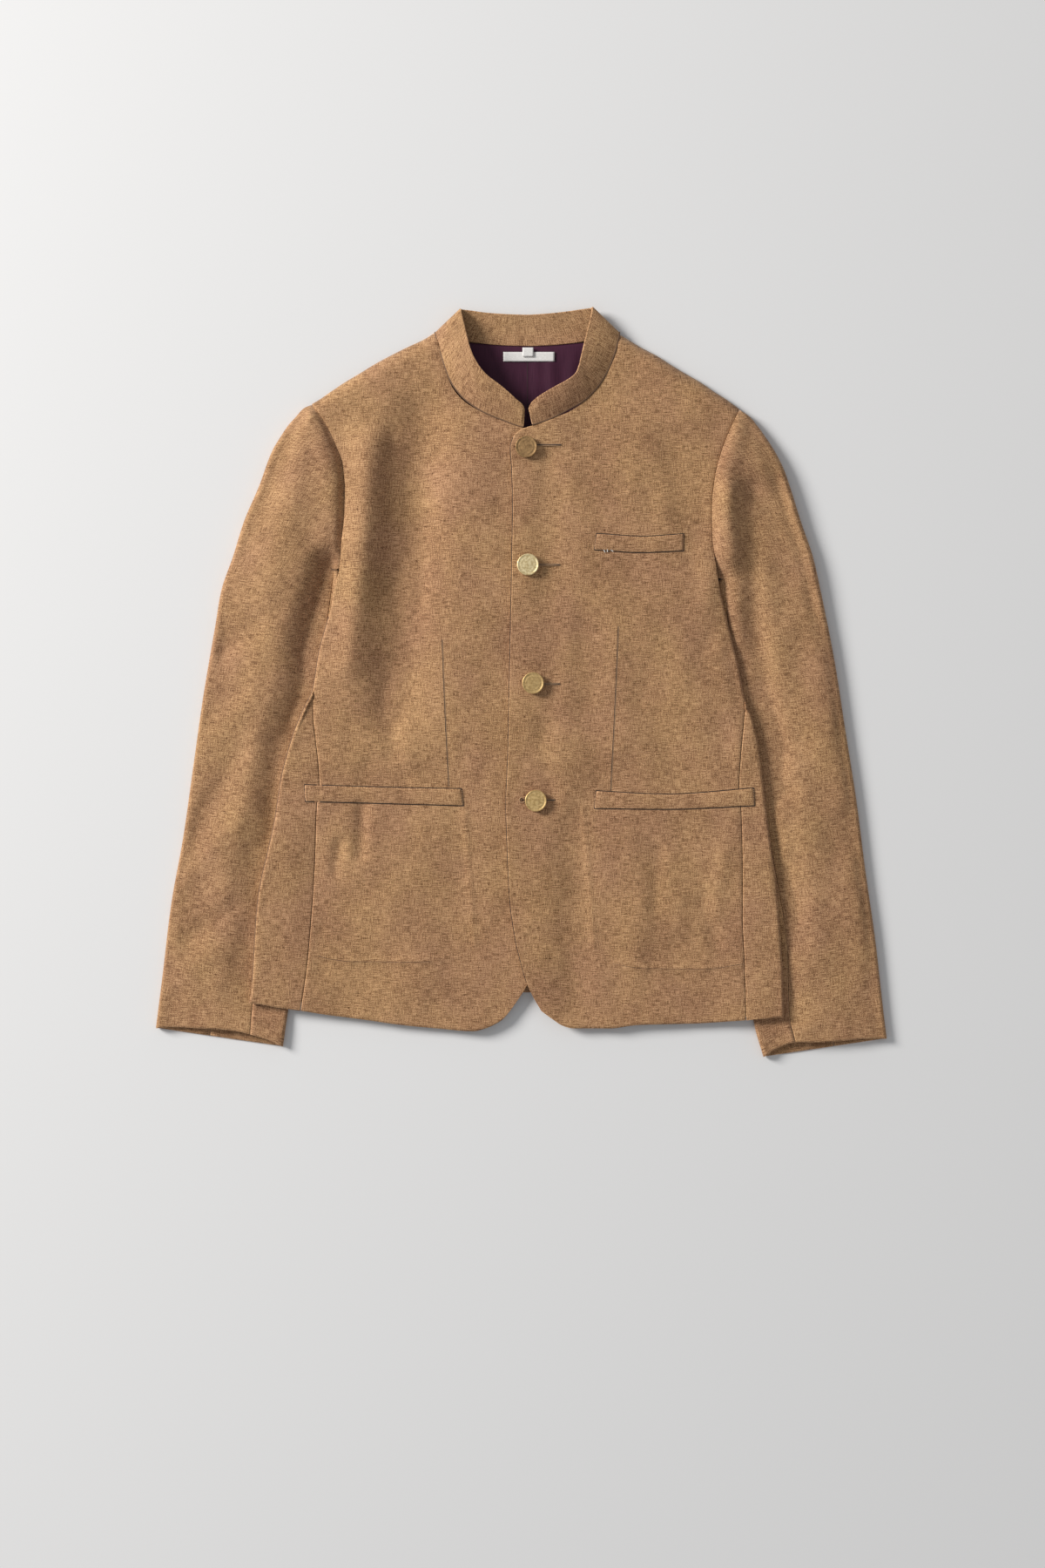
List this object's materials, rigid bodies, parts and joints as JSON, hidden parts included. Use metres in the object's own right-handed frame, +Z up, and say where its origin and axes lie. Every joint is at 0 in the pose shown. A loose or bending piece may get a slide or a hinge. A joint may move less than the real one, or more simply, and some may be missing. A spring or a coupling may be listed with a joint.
{
  "type": "linen jacket",
  "caption": "Tan slubbed-linen jacket with a stand collar, brass shank buttons and welt pockets, buttoned and laid flat with its front up.",
  "frame": {"origin": "under the middle of the jacket's outline, on the surface that it lies on", "axes": "+X to the wearer's left, which is the right of the picture; +Y from the hem to the collar; +Z up from the surface, out of the jacket's front"},
  "size_m": [0.7332, 0.7509, 0.028],
  "materials": {
    "linen": "matt, slubbed plain weave with small dark flecks, tan",
    "lining": "smooth plum lining with a low sheen",
    "woven_label": "off-white woven tape, bare",
    "brass": "antique brass, worn, slightly rough"
  },
  "bodies": {
    "root": {"back": "linen", "back_lining": "lining", "label": "woven_label", "size_tab": "woven_label", "collar": "linen", "front_left": "linen", "front_right": "linen", "side_left": "linen", "side_right": "linen", "top_sleeve_left": "linen", "top_sleeve_right": "linen", "under_sleeve_left": "linen", "under_sleeve_right": "linen", "chest_welt": "linen", "welt_left": "linen", "welt_right": "linen", "button_1": "brass", "button_2": "brass", "button_3": "brass", "button_4": "brass"}
  },
  "joints": []
}
